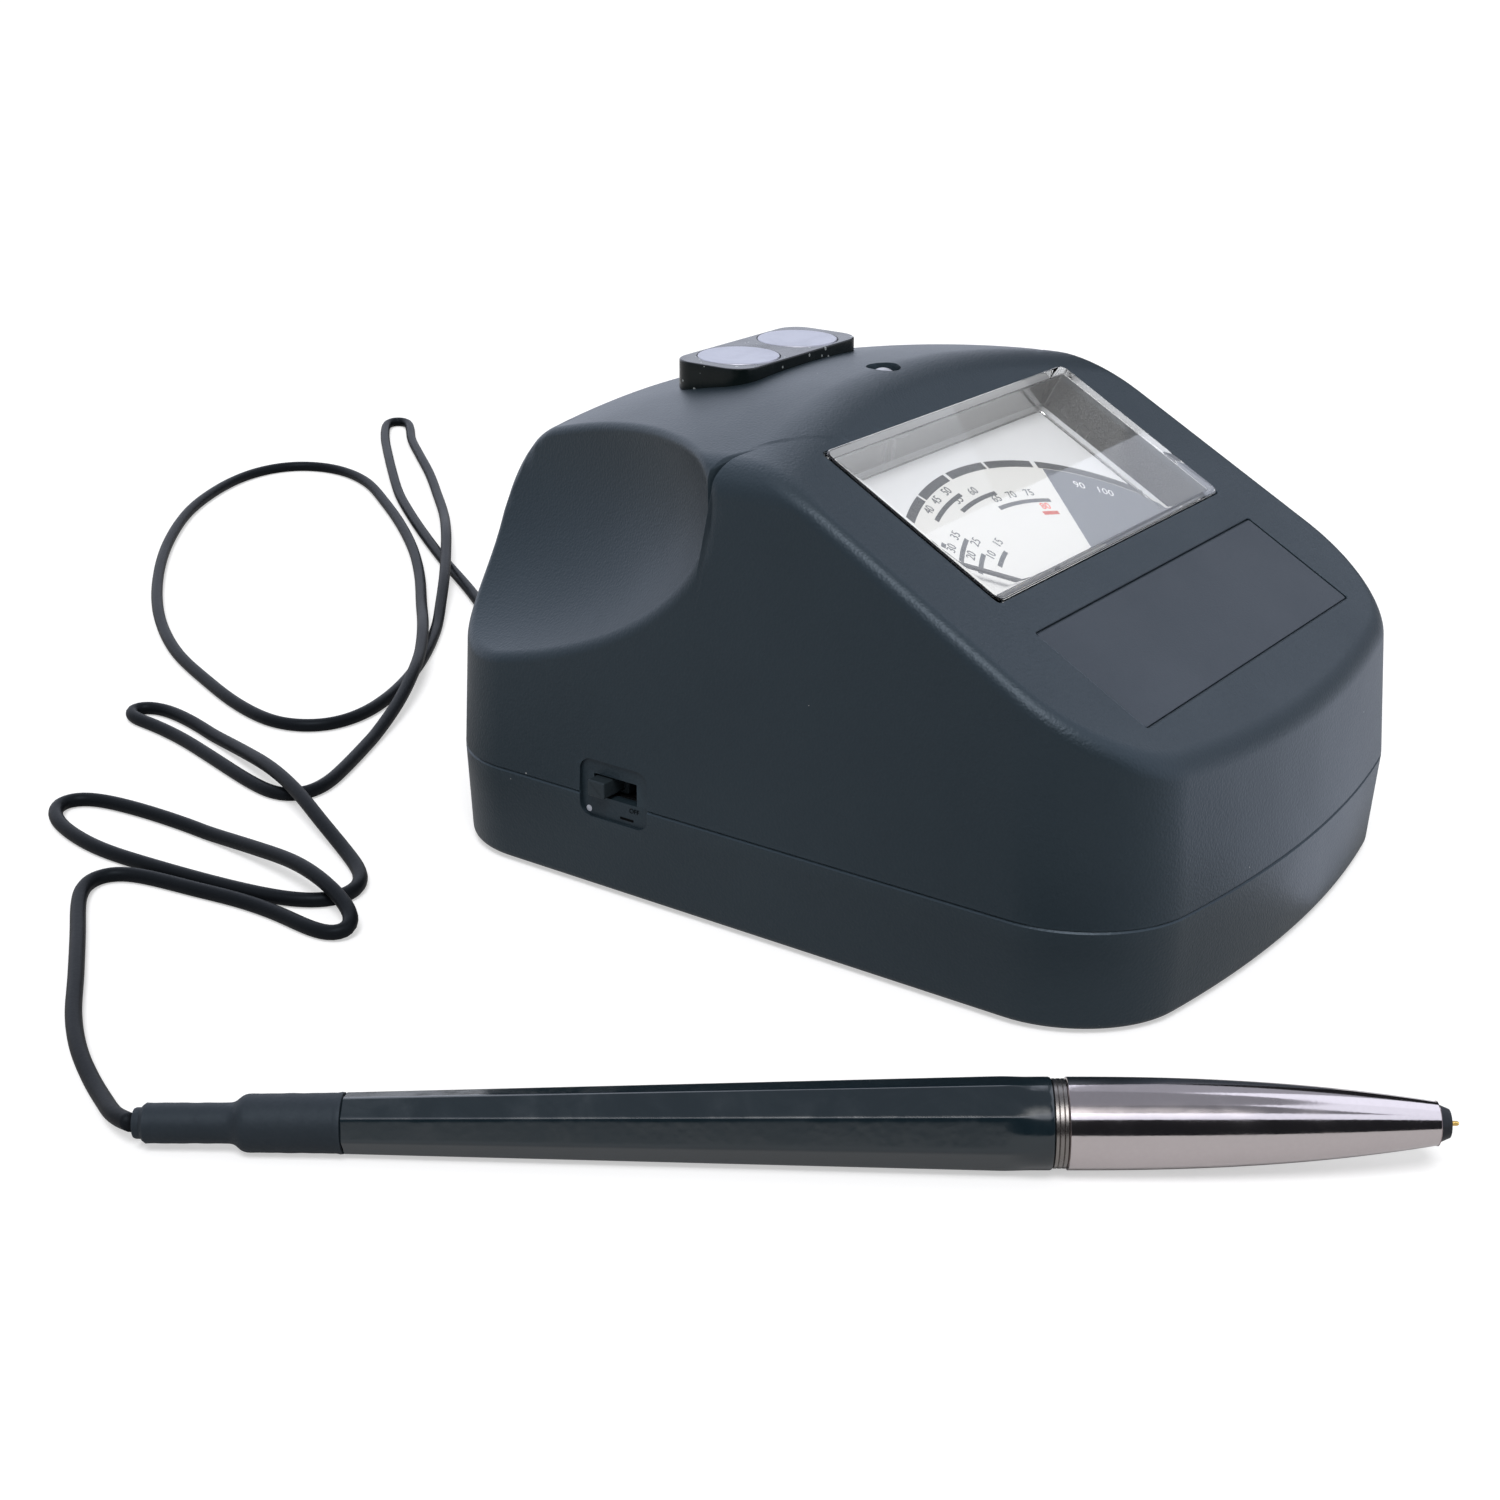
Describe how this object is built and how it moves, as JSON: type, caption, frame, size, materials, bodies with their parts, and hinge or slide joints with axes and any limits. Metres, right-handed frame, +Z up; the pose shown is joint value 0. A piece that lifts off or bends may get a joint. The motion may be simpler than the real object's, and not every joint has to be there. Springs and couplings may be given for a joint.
{
  "type": "gemstone tester",
  "caption": "Counter-top gemstone tester: moulded wedge case with a tilted needle meter, reference discs on the roof, a side slide switch, and a probe pen on a thin cord.",
  "frame": {"origin": "on the counter top below the middle of the case's underside, 0.6 mm under it because the rubber feet hold the case up", "axes": "+Z up, -Y towards the bowed front, +X to the right of someone who reads the dial"},
  "size_m": [0.2862, 0.3574, 0.0741],
  "materials": {
    "case_plastic": "fine-grained blue-black moulding",
    "rubber": "soft black rubber",
    "steel": "zinc-plated steel",
    "clear_cover": "clear moulded cover",
    "dial": "white printed plate",
    "needle": "black painted metal",
    "iron": "bare soft iron",
    "brass": "brass",
    "copper": "enamelled copper wire",
    "board": "green circuit board",
    "chip": "black moulded packages",
    "knob": "dark grey moulding",
    "lamp": "milky lens",
    "block": "dark glossy moulding",
    "disc": "satin grey metal",
    "label": "satin plate, bare",
    "cell": "wrapped battery can",
    "cord": "smooth black cord",
    "pen": "glossy blue-black moulding",
    "nickel": "polished warm nickel",
    "nose": "black heat-proof nose",
    "gold": "gilt tip"
  },
  "bodies": {
    "base": {"upper_case": "case_plastic", "lower_case": "case_plastic", "door_hinge_pin": "steel", "rubber_feet": "rubber", "case_screws": "steel", "meter_tub": "chip", "meter_cover": "clear_cover", "dial_plate": "dial", "meter_screws": "steel", "magnet_yoke": "iron", "core_magnet": "iron", "bearing_bridge": "brass", "circuit_board": "board", "circuit_chips": "chip", "switch_body": "knob", "ready_lamp": "lamp", "disc_block": "block", "reference_disc_left": "disc", "reference_disc_right": "disc", "label_plate": "label", "battery_cells": "cell", "battery_contacts": "steel", "cord_grommet": "rubber", "probe_cord": "cord"},
    "needle": {"moving_coil": "copper", "needle_spindle": "steel", "meter_needle": "needle"},
    "switch": {"switch_knob": "knob"},
    "door": {"battery_door": "case_plastic"},
    "pen": {"pen_sleeve": "rubber", "pen_barrel": "pen", "ferrule_ring": "nickel", "grip_cone": "nickel", "tip_nose": "nose", "tip_spring": "steel"},
    "tip": {"tip_plunger": "gold"}
  },
  "joints": [
    {"name": "needle_swing", "type": "hinge", "parent": "base", "child": "needle", "pos_m": [0, -0.03328, 0.04256], "axis": [0, 0.4848, -0.8746], "range_deg": [0, 94], "stiffness_Nm_per_rad": 0.00002},
    {"name": "switch_slide", "type": "slide", "parent": "base", "child": "switch", "axis": [0, -1, 0], "range_m": [0, 0.0043]},
    {"name": "door_hinge", "type": "hinge", "parent": "base", "child": "door", "pos_m": [0, -0.0188, 0.0022], "axis": [-1, 0, 0], "range_deg": [0, 100]},
    {"name": "pen_lift", "type": "slide", "parent": "base", "child": "pen", "axis": [0, 0, 1], "range_m": [0, 0.06]},
    {"name": "tip_retract", "type": "slide", "parent": "pen", "child": "tip", "axis": [-0.5605, 0.8278, -0.0234], "range_m": [0, 0.0009], "stiffness_N_per_m": 300, "deforming": ["tip_spring"]}
  ]
}
